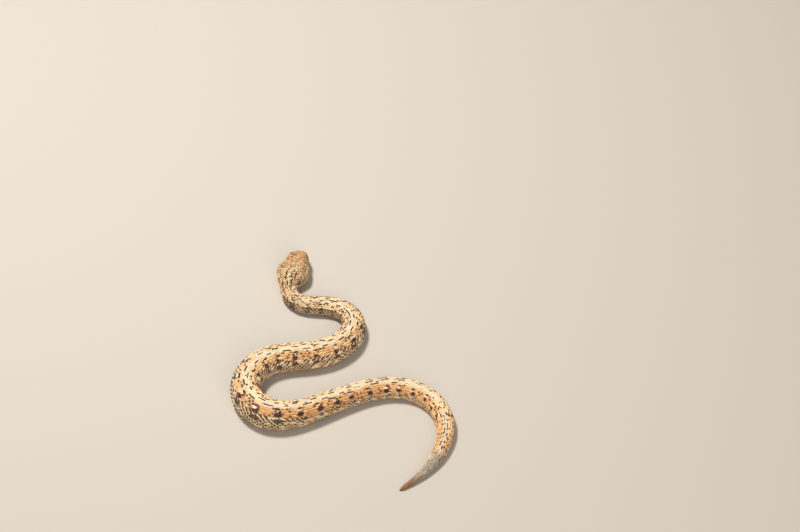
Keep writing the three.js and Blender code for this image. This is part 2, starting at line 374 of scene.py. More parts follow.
on_lip = bump(outer_skin[..., 2] - lip_level(along_grid), LIP_PART)
on_lip *= 1 - ramp(MOUTH_CORNER - 1, MOUTH_CORNER + 0.3, along_grid)
swell -= LIP_DEPTH * on_lip * (abs(outer_normal[..., 2]) < LEVEL_SKIN)
furrow = bump(grid_across, FURROW_HALF) * bump(along_grid - FURROW_ALONG, FURROW_LENGTH)
swell -= FURROW_DEPTH * furrow * (outer_normal[..., 2] > 0)
cheek = bump(along_grid - CHEEK_ALONG, CHEEK_LENGTH) * bump(abs(grid_across) - CHEEK_ACROSS, CHEEK_WIDTH)
swell += CHEEK_SWELL * cheek
pressed = ramp(0, 0.5, FOLD_FROM - squeeze) * ramp(HEAD_LENGTH, HEAD_LENGTH + 4, along_grid)
swell -= FOLD_DEPTH * pressed * np.cos(2 * pi * along_grid / FOLD_PITCH) ** 2

skin_grid = outer_skin + outer_normal * swell[..., None]
skin_normal = outwards(skin_grid)

# The markings lie on the rows of scales, counted from the middle of the back: row 0 is the pale stripe,
# with dark dashes beside it, then a row of dark and white spots, and a lower row on the flank.
ROLL = [  # distance along, how far the middle of the back lies to the right of the highest line
    (0, 0.0), (18, 0.0), (30, -0.5), (60, -0.35), (105, -0.25),
    (122, 0.4), (200, 0.45), (225, 0.25), (250, 0.0),
]
SPOT_PERIODS = [  # distance along, distance between spots
    (0, 5.5), (30, 5.5), (45, 5.8), (60, 6.7), (80, 7.3),
    (100, 7.5), (160, 7.5), (180, 6.8), (200, 5.8), (250, 5.0),
]
USUAL_PERIOD = 7.5
SPOT_ANCHOR = 90  # a spot on the left side is here
# Where one side is much less tan than the other, that side's paleness is painted light: the side that faced
# the light, washed out, not the animal's own colour.
TAN_AND_LIT_SIDES = [  # distance along, how strongly tan the left and right sides are there
    (0, 0.6, 0.6), (26, 0.15, 0.15), (48, 0.15, 0.2), (64, 0.25, 0.55),
    (85, 0.2, 0.8), (108, 0.2, 0.6), (124, 0.7, 0.35), (140, 1.0, 0.25),
    (185, 0.95, 0.3), (212, 0.65, 0.5), (250, 0.6, 0.4),
]
# Of each kind of mark: its row, half height in rows, half length and shift back.
DASH, DASH_CURVE = (2.4, 0.4, 1.0, 0.2), 0.08
HIGH_SPOT, LOW_SPOT, SMALL_SPOT = (4.9, 0.85, 1.15, 0.4), (7.5, 0.95, 1.35, 0.9), (3.5, 0.7, 0.4, 1.2)
HIGH_WHITE, LOW_WHITE = (3.5, 0.45, 0.8, -0.1), (5.8, 0.5, 0.8, 1.0)
STREAK_HALF = 0.26  # of the streaks beside the back stripe, in rows
NAPE_STREAKS = [  # from, to, row
    (13.2, 17.6, 3.3), (17.4, 21.5, 1.6), (13.8, 17.4, -2.4), (17.8, 23.5, -4.2), (14.6, 16.6, 0.9),
    (18.2, 20.4, -0.9), (20.6, 23.4, 0.6), (22.8, 27.5, -5.8), (16.2, 18.0, 7.2),
]
NAPE_STREAK_HALF = 0.38
CHEEK_STREAK = (5.6, 16.0, 6.6)  # from behind each eye to the corner of the jaw
CROWN_STREAK = (10.5, 18, 0)  # pale
WIDE_STREAK_HALF = 0.7
NECK_ENDS, LOOP_ENDS = (50, 70), (130, 150)
MARKS_BEGIN, SPECKS_END = (22, 27), (17, 25)
TAIL_NEARS, SPOTS_END, MARKS_FADE = (186, 204), (204, 216), (226, 233)
TAIL_TURNS_GREY, TAIL_TIP_TURNS_BROWN = (225, 231), (237, 248)
TAIL_SPECK, HEAD_SPECK = (2.0, 1.5), (0.95, 1.4)  # steps along and rows of the cells of one speck each
PERIOD_STEP = 0.5
period_stops = np.arange(0, TOTAL_LENGTH + PERIOD_STEP, PERIOD_STEP)
spot_count = np.cumsum(PERIOD_STEP / station(1, period_stops, SPOT_PERIODS))
spot_count -= np.interp(SPOT_ANCHOR, period_stops, spot_count)
nostril_reach, nostril_share = nostril_spots["right"]
nostril_row = nostril_share * half_girth(nostril_reach) / row_pitch(NOSTRIL_ALONG)


def hashed(*values):
    """A repeatable random share for whole numbers."""
    blend = sum(np.asarray(v, float) * k for v, k in zip(values, (12.9898, 78.233, 37.719)))
    found = np.sin(blend) * 43758.5453
    return found - np.floor(found)


def roll(along):
    return station(1, along, ROLL)


def streak(along, row, start, end, middle, half_row):
    """1 along a thin lengthwise streak with tapered ends, 0 off it."""
    past_end = np.maximum(start - along, along - end)
    return bump(row - middle, half_row) * (1 - ramp(-0.5, 0.35, past_end))


def nearest_mark(count, along, right, slack):
    """The number of the nearest mark of a line of them, and the distance from its uneven middle."""
    period = station(1, along, SPOT_PERIODS)
    number = np.round(count)
    off = (count - number) * period + slack * (hashed(number, right) - 0.5)
    return number, off * USUAL_PERIOD / period  # marks are shorter where they are closer


def specks(along, row, right, chance, cell):
    """1 on small round specks, each in a cell of its own and off the cell's middle, 0 between them."""
    at_along, at_row = along / cell[0], row / cell[1]
    cell_along, cell_row = np.floor(at_along), np.floor(at_row)
    here = lambda which: hashed(cell_along + 0.5 * right, cell_row, which)
    off_along = at_along - cell_along - 0.3 - 0.4 * here(11)
    off_row = at_row - cell_row - 0.3 - 0.4 * here(12)
    return bump(off_along, 0.2) * bump(off_row, 0.26) * (here(13) < chance)


def tan_and_lit_paling(along, row):
    """How tan the side is there, and how much paler it is than the other side: painted light, the side that
    faced the light washed out.
    """
    left, right = station(1, along, TAN_AND_LIT_SIDES), station(2, along, TAN_AND_LIT_SIDES)
    here, across = np.where(row > 0, (right, left), (left, right))
    low = ramp(3, 6, abs(row)) - 0.5 * ramp(6, 9, abs(row))
    return here, ramp(0.1, 0.6, across - here) * low


def markings(along, row):
    """How dark, white, warm, grey and barred the skin is, at a distance along and a signed row."""
    warm, lit_side_paling = tan_and_lit_paling(along, row)
    right, signed_row, row = row > 0, row, abs(row)
    on_body, fade = ramp(*MARKS_BEGIN, along), 1 - ramp(*MARKS_FADE, along)
    on_tail, behind_loop = ramp(*TAIL_NEARS, along), ramp(*LOOP_ENDS, along)
    lag = np.where(right, 0.5 + 0.5 * ramp(123, 143, along), 0)
    count = np.interp(along, period_stops, spot_count)

    number, off = nearest_mark(count - lag, along, right, 1.4)
    high = row - 0.8 * (hashed(number, right, 1) - 0.5)
    forward = 0.8 * (hashed(number, right, 4) - 0.5)

    def spot(mark, moved=0.0, curve=0.0):
        middle, half_row, half_length, shift = mark
        return bump(high - middle - curve * off**2, half_row) * bump(off - shift - moved, half_length)

    dark = spot(DASH, forward, DASH_CURVE)
    dark += (1 + 0.4 * behind_loop) * spot(HIGH_SPOT, -forward)
    low_spot = (1.2 - 0.5 * behind_loop) * spot(LOW_SPOT, forward)
    dark += (0.5 * spot(SMALL_SPOT) + low_spot) * (1 - on_tail)
    # Painted light: the marks are fainter on the side painted paler, as if washed out by the light.
    dark *= 1 - 0.6 * lit_side_paling
    dark *= 1.25 * (0.7 + 0.5 * hashed(number, right, 2)) * (1 - 0.9 * ramp(*SPOTS_END, along))
    white = spot(HIGH_WHITE, -forward) + 0.7 * spot(LOW_WHITE) * (1 - on_tail)
    white *= 1.1 * (0.7 + 0.7 * hashed(number, right, 5))
    blotch = bump(off - 0.6, 1.9)

    number, off = nearest_mark(count - 0.5 - 0.5 * right, along, right, 1.6)
    long = (1.2 + 0.9 * hashed(number, right, 6)) * (1 - 0.4 * on_tail)
    middle = 0.85 + 0.5 * (hashed(number, right, 7) - 0.5)
    dark += (0.8 + 0.4 * hashed(number, right, 8)) * streak(off, row, -long, long, middle, STREAK_HALF)
    second = streak(off, row, long - 1.0, long + 1.0, middle + 0.95, STREAK_HALF)
    dark += 0.9 * (hashed(number, right, 9) > 0.6) * second
    white += 0.5 * streak(off, row, -long - 0.6, long + 0.6, middle, 0.9)
    tail_specks = specks(along, row, right, 0.75, TAIL_SPECK) * (1 - ramp(6.5, 8.5, row))
    dark += 1.1 * tail_specks * ramp(200, 212, along)
    dark *= on_body * fade
    head_specks = specks(along, row, right, 0.7, HEAD_SPECK) * (1 - ramp(9, 12, row))
    dark += 0.95 * head_specks * (1 - ramp(*SPECKS_END, along))

    for nape_streak in NAPE_STREAKS:
        dark += 1.1 * streak(along, signed_row, *nape_streak, NAPE_STREAK_HALF)
    dark += 0.3 * streak(along, row, *CHEEK_STREAK, WIDE_STREAK_HALF)
    # Painted shade: the nostril's pit is painted dark.
    dark += 1.5 * bump(along - NOSTRIL_ALONG, 0.16) * bump(row - nostril_row, 0.45)
    white = white * on_body + 0.5 * streak(along, signed_row, *CROWN_STREAK, WIDE_STREAK_HALF)
    white += 0.3 * bump(row, 0.9) * on_body * fade

    warm = warm * ramp(1.3, 2.4, row) * (1 - 0.5 * ramp(6, 9, row))
    warm *= 1 - ramp(12, 14, row)
    on_head = 1 - ramp(12, 22, along)
    head_warm = (0.75 - 0.5 * ramp(5, 13, along)) * (1 - ramp(6, 10, row))
    warm = warm * (1 - on_head) + head_warm * on_head
    mottle = 3 * (hashed(np.round(along), right, 3) - 0.5) + 2 * (hashed(np.round(row), right, 14) - 0.5)
    grey = ramp(*TAIL_TURNS_GREY, along + mottle)
    grey *= 1 - 0.85 * ramp(1.5, 4.5, -signed_row) * (1 - ramp(236, 244, along))
    grey += ramp(*TAIL_TIP_TURNS_BROWN, along)
    band_edge = 4.0 + ramp(40, 70, along) + 0.8 * behind_loop
    between = 0.8 - 0.1 * ramp(*NECK_ENDS, along) - 0.4 * behind_loop
    barred = ramp(0, 1.4, row - band_edge) * (1 - 0.4 * ramp(8, 10, row)) * (1 - ramp(12, 15, row))
    barred *= between + (1 - between) * blotch
    # The bars are fainter on the side painted paler for the light.
    barred *= on_body * fade * (1 - 0.6 * on_tail) * (1 - 0.5 * lit_side_paling)
    return np.clip(dark, 0, 1), np.clip(white, 0, 1), warm, grey, barred


CREAM, WARM_TAN = paint(250, 218, 165), paint(238, 179, 113)
SPOT_BROWN, SPOT_WHITE = paint(74, 37, 10), paint(255, 244, 223)
TAIL_GREY, TAIL_BROWN = paint(188, 177, 152), paint(166, 114, 66)
# SKIN_SHADE is a brown that darkens by multiplying: partly the darker colour of the skin and of the scales'
# edges, partly painted shade in the gaps between the scales and under their overlaps.
SKIN_SHADE = paint(132, 88, 52)
GRAIN = 2600  # of the finest mottling, in waves for each metre


def tree_of(*values):
    """The node tree that the sockets among some values belong to."""
    return next(value.id_data for value in values if isinstance(value, bpy.types.NodeSocket))


def mixed(share, under, over, blend="MIX"):
    inputs = {0: share, 6: under, 7: over}
    tree = tree_of(*inputs.values())
    return put(tree, "ShaderNodeMix", inputs, data_type="RGBA", blend_type=blend).outputs[2]


def calculated(operation, *values, clamp=False):
    inputs = dict(enumerate(values))
    return put(tree_of(*values), "ShaderNodeMath", inputs, operation=operation, use_clamp=clamp).outputs[0]


def product(*values):
    found = values[0]
    for value in values[1:]:
        found = calculated("MULTIPLY", found, value)
    return found


def less(value, taken, clamp=False):
    return calculated("SUBTRACT", value, taken, clamp=clamp)


def product_and(value, factor, added):
    return calculated("MULTIPLY_ADD", value, factor, added)


def ramped(value, low, high):
    inputs = {0: value, 1: low, 2: high}
    return put(value.id_data, "ShaderNodeMapRange", inputs, interpolation_type="SMOOTHSTEP").outputs[0]


def attribute(tree, name, output="Fac"):
    return put(tree, "ShaderNodeAttribute", attribute_name=name).outputs[output]


def noise(tree, scale, detail=2.0):
    place = put(tree, "ShaderNodeTexCoord").outputs["Object"]
    inputs = {"Vector": place, "Scale": scale, "Detail": detail}
    return put(tree, "ShaderNodeTexNoise", inputs).outputs["Fac"]


def marked_colour(tree):
    """The animal's colours from the marks on the mesh, with a fine mottling."""
    marks = put(tree, "ShaderNodeSeparateColor", {0: attribute(tree, "marks", "Color")})
    dark, white, warm = marks.outputs[:3]
    grain, patches = noise(tree, GRAIN), noise(tree, GRAIN / 8)
    warm = product_and(patches, 2.0, less(warm, 1.0))
    colour = mixed(ramped(warm, -0.1, 1.1), CREAM, WARM_TAN)
    colour = mixed(white, colour, SPOT_WHITE)
    grey = attribute(tree, "grey")  # from 0 to 1 grey, and on to 2 brown
    colour = mixed(calculated("MINIMUM", grey, 1.0), colour, TAIL_GREY)
    colour = mixed(less(grey, 1.0, clamp=True), colour, TAIL_BROWN)
    dark = ramped(product_and(grain, 0.6, less(dark, 0.3)), 0.25, 0.6)
    return mixed(dark, colour, SPOT_BROWN), grain, dark


def relief(tree, height, strength, depth):
    inputs = {"Height": height, "Strength": strength, "Distance": depth * MM}
    return put(tree, "ShaderNodeBump", inputs).outputs[0]


skin_material, tree = new_material("skin")
colour, grain, _ = marked_colour(tree)
# The skin shows only in the gaps between the scales. It is darkened, partly for its own darker colour and
# partly as painted shade in those gaps.
colour = mixed(0.6, colour, SKIN_SHADE, "MULTIPLY")
give_surface(tree, {"Base Color": colour, "Roughness": 0.7, "Normal": relief(tree, grain, 0.3, 0.04)})


def set_attribute(mesh, name, kind, values, domain="POINT"):
    layer = mesh.attributes.new(name, kind, domain)
    field = {"FLOAT": "value", "FLOAT_COLOR": "color"}.get(kind, "vector")
    layer.data.foreach_set(field, np.asarray(values, np.float32).ravel())


def set_marks(mesh, along, row, bar_share=1.0):
    dark, white, warm, grey, barred = markings(along, row)
    set_attribute(mesh, "marks", "FLOAT_COLOR", np.stack([dark, white, warm, np.ones_like(dark)], -1))
    set_attribute(mesh, "grey", "FLOAT", grey)
    set_attribute(mesh, "barred", "FLOAT", barred)
    set_attribute(mesh, "bar", "FLOAT", barred * bar_share)


body_ends = np.array([0.0, TOTAL_LENGTH])
end_points = placed(body_ends, 0.0, outline(body_ends, np.zeros(2))[1])
skin_points = np.concatenate([skin_grid.reshape(-1, 3), end_points])
end_numbers = {-1: rows_count * AROUND, rows_count: rows_count * AROUND + 1}
skin_corners = []  # of each face, by row and column; the two ends are rows of their own
for i in range(rows_count - 1):
    skin_corners += [[(i, j), (i + 1, j), (i + 1, j + 1), (i, j + 1)] for j in range(AROUND)]
for j in range(AROUND):
    skin_corners.append([(-1, j + 0.5), (0, j), (0, j + 1)])
    skin_corners.append([(rows_count, j + 0.5), (rows_count - 1, j + 1), (rows_count - 1, j)])
skin_faces = [[end_numbers.get(i, i * AROUND + j % AROUND) for i, j in face] for face in skin_corners]
skin = new_piece("skin", skin_points, skin_faces, skin_material)
grid_row = (shares * row_half_girth[:, None] - roll(row_along)[:, None]) / row_pitch(row_along)[:, None]
set_marks(skin.data, np.append(along_grid.ravel(), body_ends), np.append(grid_row.ravel(), [0, 0]))

# The skin is unrolled into strips that lie side by side in its own flat map.
SKIN_STRIPS = 3
STRIP_MARGIN = 0.004
per_strip = (rows_count + 1) / SKIN_STRIPS
unrolled = np.array([corner for face in skin_corners for corner in face], float) + [1, 0]
first_rows = np.repeat([min(face)[0] + 1 for face in skin_corners], [len(face) for face in skin_corners])
strip = np.minimum((first_rows / per_strip).astype(int), SKIN_STRIPS - 1)
skin_u = STRIP_MARGIN + unrolled[:, 1] / AROUND * (1 - 2 * STRIP_MARGIN)
skin_v = STRIP_MARGIN + (unrolled[:, 0] / per_strip - strip) * (1 - 2 * STRIP_MARGIN)
skin_map = np.stack([skin_u, (strip + skin_v) / SKIN_STRIPS], -1)
set_attribute(skin.data, "OFBake", "FLOAT2", np.clip(skin_map, 0, 1), "CORNER")
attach(skin, "root")
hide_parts(*(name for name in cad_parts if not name.startswith("eye_")))

# --- Scales of the back and flanks ---
# Narrow keeled scales of dry horn, rooted in the skin and pointing to the tail. Each covers the roots of
# the next, in rows that run the length of the body. They are small on the head and largest at the middle.

PLATE_ROOT = 0.55  # the share of a scale's length that is in front of its place
RIM = 0.25  # thickness of the free edge, as a share of the rise
KEELED_STEPS = (0, 0.34, 0.58, 0.78, 0.92, 1)  # along the scale
KEELED_SIDES = (-1, -0.55, -0.16, 0, 0.16, 0.55, 1)  # across it, with the keel in the middle


def plate_shape(name, steps, side_steps, half_width, height, cut_back=0.0):
    """One scale, 1 long and 1 wide, rising about 1 to its tip, as a closed mesh with a flat map."""
    x, y = np.meshgrid(np.array(steps, float), np.array(side_steps, float), indexing="ij")
    long = x * (1 - cut_back * y**2) - PLATE_ROOT
    top = np.stack([long, y * half_width(x), height(x, y)], -1)
    under = top[:, [0, -1]] - [0, 0, RIM]
    count, wide = x.shape
    u = lambda i: 0.05 + 0.9 * steps[i]  # a corner is its point's number and its place in the flat map
    above = lambda i, j: (i * wide + j, (u(i), 0.2 + 0.74 * (side_steps[j] + 1) / 2))
    below = lambda i, j, v: (count * wide + i * 2 + j, (u(i), v))
    faces = []
    for i in range(count - 1):
        for j in range(wide - 1):
            faces.append([above(i, j), above(i + 1, j), above(i + 1, j + 1), above(i, j + 1)])
        faces.append([below(i, 0, 0.16), below(i + 1, 0, 0.16), above(i + 1, 0), above(i, 0)])
        faces.append([above(i, wide - 1), above(i + 1, wide - 1), below(i + 1, 1, 0.98), below(i, 1, 0.98)])
        faces.append([below(i, 0, 0.03), below(i, 1, 0.12), below(i + 1, 1, 0.12), below(i + 1, 0, 0.03)])
    for i, edge, order in ((0, 0.01, 1), (count - 1, 0.99, -1)):
        ring = [above(i, j) for j in range(wide)]
        ring += [(below(i, 1, 0)[0], (edge, 0.9)), (below(i, 0, 0)[0], (edge, 0.24))]
        faces.append(ring[::order])
    mesh = bpy.data.meshes.new(name)
    points = np.concatenate([top.reshape(-1, 3), under.reshape(-1, 3)])
    mesh.from_pydata(points.tolist(), [], [[number for number, _ in face] for face in faces])
    place = np.stack([x, y, np.zeros_like(x)], -1)
    places = np.concatenate([place.reshape(-1, 3), place[:, [0, -1]].reshape(-1, 3)])
    set_attribute(mesh, "place", "FLOAT_VECTOR", places)
    set_attribute(mesh, "flat", "FLOAT2", [flat for face in faces for _, flat in face], "CORNER")
    ends, sides = np.isin(x, (steps[0], steps[-1])), abs(y) == 1
    on_rim = np.append((ends | sides).ravel(), np.zeros(count * 2, bool))
    rim_edges = [bool(on_rim[list(edge.vertices)].all()) for edge in mesh.edges]
    mesh.attributes.new("sharp_edge", "BOOLEAN", "EDGE").data.foreach_set("value", rim_edges)
    return bpy.data.objects.new(name, mesh)


def lance(x):
    """Half width of a lance-shaped scale, from its root to its blunt point."""
    return 0.05 + 0.45 * np.sin(pi * np.clip(0.12 + 0.88 * x, 0, 1)) ** 0.85


def keeled(keel, side_fall):
    """How high a scale is with a keel of that height, and sides that fall so far."""

    def height(x, y):
        ridge = keel * np.clip(1 - abs(y) / 0.55, 0, 1) ** 1.3 * np.sin(pi * np.clip(x, 0, 0.97) ** 0.9)
        return -0.35 + 1.35 * x**0.85 - side_fall * y**2 + ridge

    return height


keeled_scale = plate_shape("keeled_scale", KEELED_STEPS, KEELED_SIDES, lance, keeled(0.7, 0.45))


def laying_tree(name):
    """Lays one shape on every point, by the point's own size and turn, each a little unlike the next."""
    tree = bpy.data.node_groups.new(name, "GeometryNodeTree")
    sockets = {
        "Geometry": ("Geometry", None),
        "Shape": ("Object", None),
        "Size unevenness": ("Float", 0.06),
        "Turn unevenness": ("Float", 0.05),
        "Seed": ("Int", 7),
        "Material": ("Material", None),
    }
    for label, (kind, value) in sockets.items():
        socket = tree.interface.new_socket(label, in_out="INPUT", socket_type="NodeSocket" + kind)
        if value is not None:
            socket.default_value = value
    tree.interface.new_socket("Geometry", in_out="OUTPUT", socket_type="NodeSocketGeometry")
    entry = put(tree, "NodeGroupInput").outputs
    uneven, turned, seed = entry["Size unevenness"], entry["Turn unevenness"], entry["Seed"]
    sizes = {2: less(1.0, uneven), 3: calculated("ADD", 1.0, uneven), "Seed": seed}
    growth = put(tree, "FunctionNodeRandomValue", sizes)
    size = put(tree, "GeometryNodeInputNamedAttribute", {"Name": "size"}, data_type="FLOAT_VECTOR")
    grown = {0: size.outputs[0], "Scale": growth.outputs[1]}
    sized = put(tree, "ShaderNodeVectorMath", grown, operation="SCALE")
    swing = put(tree, "FunctionNodeRandomValue", {2: product(turned, -1.0), 3: turned, "Seed": seed})
    turn = put(tree, "GeometryNodeInputNamedAttribute", {"Name": "turn"}, data_type="FLOAT")
    angle = calculated("ADD", turn.outputs[0], swing.outputs[1])
    instances = {
        "Points": entry["Geometry"],
        "Instance": put(tree, "GeometryNodeObjectInfo", {"Object": entry["Shape"]}).outputs["Geometry"],
        "Rotation": put(tree, "ShaderNodeCombineXYZ", {"Z": angle}).outputs[0],
        "Scale": sized.outputs[0],
    }
    laid = put(tree, "GeometryNodeInstanceOnPoints", instances)
    real = put(tree, "GeometryNodeRealizeInstances", {"Geometry": laid.outputs[0]})
    finish = {"Geometry": real.outputs[0], "Material": entry["Material"]}
    painted = put(tree, "GeometryNodeSetMaterial", finish)
    put(tree, "NodeGroupOutput", {"Geometry": painted.outputs[0]})
    return tree


lay_tree = laying_tree("lay_scales")
MARK_SPREAD = 0.75  # how far a mark keeps its own edge across a scale: at 0 each scale has one colour
TONE_SPREAD = 0.22
HEAD_DIM = 0.18  # how much darker the scales of the head are
HALF_ROUND = 6  # rows: places further than this from their scale's root are across the belly's middle


def read(mesh, name, width=3):
    layer = mesh.attributes[name].data
    values = np.zeros(len(layer) * width, np.float32)
    layer.foreach_get("vector", values)
    return values.reshape(-1, width).astype(float)


def at_share(reach, share):
    """Places on the skin, the ways out of it, and their reach and share of the half girth."""
    return on_grid(skin_grid, reach, share), on_grid(skin_normal, reach, share), reach, share


def over_back(flat):
    """The same for places told by reach and by distance from the top of the back."""
    return at_share(flat[:, 0], flat[:, 1] / half_girth(flat[:, 0]))


def over_belly(flat):
    """The same for places told by reach and by distance from the middle of the belly."""
    share = 1 + flat[:, 1] / half_girth(flat[:, 0])
    return at_share(flat[:, 0], np.where(share > 1, share - 2, share))


def row_at(reach, share):
    along = along_at(reach)
    return (share * half_girth(reach) - roll(along)) / row_pitch(along)


def fleck_chance(along, row):
    """The share of scales with a dark fleck: many on the head and neck, some on the sides, few on top."""
    lit_side_paling = tan_and_lit_paling(along, row)[1]
    row = abs(row)
    on_head = 0.72 - 0.34 * ramp(15, 26, along) - 0.38 * ramp(40, 62, along)
    # There are fewer flecks on the side painted paler for the light.
    on_side = ramp(1.3, 2.2, row) * (0.42 + 0.2 * ramp(4.5, 6.5, row)) * (1 - 0.6 * lit_side_paling)
    on_side *= ramp(22, 30, along) * (1 - 0.4 * ramp(*LOOP_ENDS, along))
    on_side *= 1 - 0.6 * ramp(200, 215, along)
    on_grey = ramp(222, 232, along)
    return (0.04 + np.maximum(on_head, on_side)) * (1 - ramp(11, 13, row)) * (1 - 0.4 * on_grey)


def lay(name, shape, roots, material, seed, laid_over, uneven=(0.06, 0.05)):
    """Lays a shape on flat roots, then bends the lay onto the animal as one finished piece."""
    mesh = bpy.data.meshes.new(name)
    root_places = np.stack([roots["reach"], roots["side"], np.zeros_like(roots["side"])], -1)
    mesh.from_pydata(root_places.tolist(), [], [])
    _, _, root_reach, root_share = laid_over(root_places)
    root_along, root_row = along_at(root_reach), row_at(root_reach, root_share)
    chance = lambda which: hashed(np.round(root_reach * 10), np.round(root_row * 2), seed + which)
    bar_share = np.clip(3 * chance(83) + 0.3 - ramp(*NECK_ENDS, root_along), 0, 1)
    on_head = 1 - ramp(14, 20, root_along)
    spread = TONE_SPREAD * (1 + 0.5 * on_head + 1.6 * ramp(*TAIL_TURNS_GREY, root_along))
    tone = 1 - HEAD_DIM * (1 - ramp(14, 40, root_along)) + spread * (chance(0) - 0.5)
    flecked = chance(31) < fleck_chance(root_along, root_row)
    set_attribute(mesh, "size", "FLOAT_VECTOR", roots["size"])
    set_attribute(mesh, "turn", "FLOAT", roots["turn"])
    set_attribute(mesh, "cell", "FLOAT_VECTOR", roots["cell"])
    set_attribute(mesh, "root", "FLOAT_VECTOR", np.stack([root_along, root_row, bar_share], -1))
    set_attribute(mesh, "tone", "FLOAT", tone)
    set_attribute(mesh, "fleck", "FLOAT", flecked * (0.4 + 0.8 * chance(57)) * (1 - 0.15 * on_head))
    flat_piece = show(name + "_flat", mesh)
    modifier = flat_piece.modifiers.new("lay", "NODES")
    modifier.node_group = lay_tree
    values = {
        "Shape": shape,
        "Size unevenness": uneven[0],
        "Turn unevenness": uneven[1],
        "Seed": seed,
        "Material": material,
    }
    for item in lay_tree.interface.items_tree:
        if item.item_type == "SOCKET" and item.in_out == "INPUT" and item.name in values:
            modifier[item.identifier] = values[item.name]
    depsgraph = bpy.context.evaluated_depsgraph_get()
    laid = bpy.data.meshes.new_from_object(flat_piece.evaluated_get(depsgraph), depsgraph=depsgraph)
    bpy.data.objects.remove(flat_piece)

    flat = read(laid, "position")
    places, ways_out, reach, share = laid_over(flat)
    points = (places + ways_out * flat[:, 2:]) * MM
    laid.attributes["position"].data.foreach_set("vector", points.astype(np.float32).ravel())
    along_root, row_root, bar_share = read(laid, "root").T
    row = row_at(reach, share)
    row = np.where(abs(row - row_root) > HALF_ROUND, row_root, row)
    marks_along = along_root + MARK_SPREAD * (along_at(reach) - along_root)
    set_marks(laid, marks_along, row_root + MARK_SPREAD * (row - row_root), bar_share)
    corner_points = np.zeros(len(laid.loops), np.int32)
    laid.loops.foreach_get("vertex_index", corner_points)
    bake_places = read(laid, "cell")[corner_points, :2] + read(laid, "flat", 2) * roots["cell_size"]
    for spent in ("size", "turn", "cell", "flat", "root"):
        laid.attributes.remove(laid.attributes[spent])
    set_attribute(laid, "OFBake", "FLOAT2", bake_places, "CORNER")
    laid.update()
    laid.name = name
    piece = show(name, laid)
    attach(piece, "root")


BAR_BROWN, WEAK_BAR_BROWN = paint(62, 28, 8), paint(142, 86, 42)
MARGIN_CREAM = paint(255, 231, 188)


def horn_material(name, has_keel, roughness, root_shade=(0.4, 0.7)):
    """Dry horn: darker at each scale's edges, partly its own colour and partly painted shade, and at its
    root, painted shade in the gap or overlap there; with its fleck, bar and, if it has one, a paler keel
    that is partly its own colour and partly a painted highlight.
    """
    material, tree = new_material(name)
    colour, grain, dark = marked_colour(tree)
    place = put(tree, "ShaderNodeSeparateXYZ", {0: attribute(tree, "place", "Vector")})
    from_root, from_keel = place.outputs[0], calculated("ABSOLUTE", place.outputs[1])
    # Painted shade: each scale is darkened towards its sides, partly for its own darker edge, and towards
    # its root, where it lies in the gap or under the scale in front.
    edge = product(ramped(from_keel, 0.4, 1.0), 0.6)
    near_root = less(1.0, ramped(from_root, *root_shade))
    shade = calculated("MAXIMUM", edge, product(near_root, 0.85))
    if has_keel:
        barred = attribute(tree, "barred")
        shade = product(shade, product_and(barred, -0.4, 0.5))
    colour = mixed(shade, colour, SKIN_SHADE, "MULTIPLY")
    if has_keel:
        margin = product(ramped(barred, 0.0, 0.7), product_and(dark, -0.8, 1.0))
        colour = mixed(margin, colour, MARGIN_CREAM)
        bar = less(1.0, ramped(product_and(grain, 0.5, from_keel), 0.78, 0.98))
        bar = less(bar, ramped(product_and(grain, 0.3, from_root), 0.93, 1.03), clamp=True)
        strength = attribute(tree, "bar")
        bar_colour = mixed(ramped(strength, 0.2, 0.55), WEAK_BAR_BROWN, BAR_BROWN)
        colour = mixed(product(bar, ramped(strength, 0.04, 0.25)), colour, bar_colour)
        strength = attribute(tree, "fleck")
        narrow = less(1.0, ramped(from_keel, 0.35, 0.95))
        length = less(ramped(from_root, 0.48, 0.62), ramped(from_root, 0.76, 0.94))
        fleck = product(narrow, length, 0.7, strength, product_and(grain, 2.4, -0.2))
        fleck_colour = mixed(ramped(strength, 0.4, 0.9), WEAK_BAR_BROWN, SPOT_BROWN)
        colour = mixed(ramped(fleck, 0.18, 0.4), colour, fleck_colour)
        # The keel is lightened towards white: partly its own paler horn, partly a painted highlight along
        # the ridge.
        pale_keel_and_highlight = less(1.0, ramped(from_keel, 0.0, 0.25))
        colour = mixed(product(pale_keel_and_highlight, 0.12), colour, SPOT_WHITE)
    tinted = put(tree, "ShaderNodeHueSaturation", {"Color": colour, "Value": attribute(tree, "tone")})
    inputs = {
        "Base Color": tinted.outputs[0],
        "Roughness": roughness,
        "Specular IOR Level": 0.22,
        "Normal": relief(tree, grain, 0.35, 0.03),
    }
    give_surface(tree, inputs)
    return material


keeled_material = horn_material("keeled_horn", True, 0.6)
smooth_material = horn_material("smooth_horn", False, 0.45)
shield_material = horn_material("shield_horn", False, 0.45, root_shade=(0.0, 0.12))

SCALE_LONG, SCALE_WIDE = 1.95, 1.36  # shares of the distances between scales and between rows
SCALE_RISE = 0.17
FLANK_SLANT = radians(38)  # the flank's scales point back and down, so that they lie in slanting lines
SCUTE_HALF = 0.74  # half width of a belly scute, as a share of the body's half width
LIP_SCALE = 0.85
FIRST_SCALE = 0.75
EYE_CLEAR, NOSTRIL_CLEAR = 1.42, 0.98
DRIFT_STEP = 0.3  # over which a row's own slant is measured


def scute_half(along):
    return SCUTE_HALF * station(WIDE, along)


# Where the lips meet, as a distance over the skin from the top of the head.
half_around = AROUND // 2
lip_shares = [
    np.interp(-level, -up[half_around:], shares[half_around:])
    for level, up in zip(lip_level(row_along), grid_up)
]
row_lip = np.array(lip_shares) * row_half_girth


def jaw_seam(reach):
    """Where the scales of the back and of the belly meet: at the lips, and then along the belly scutes."""
    share = ramp(MOUTH_CORNER, MOUTH_CORNER + 3.5, along_at(reach))
    back = half_girth(reach) - scute_half(along_at(reach))
    return np.interp(reach, row_reach, row_lip) * (1 - share) + back * share


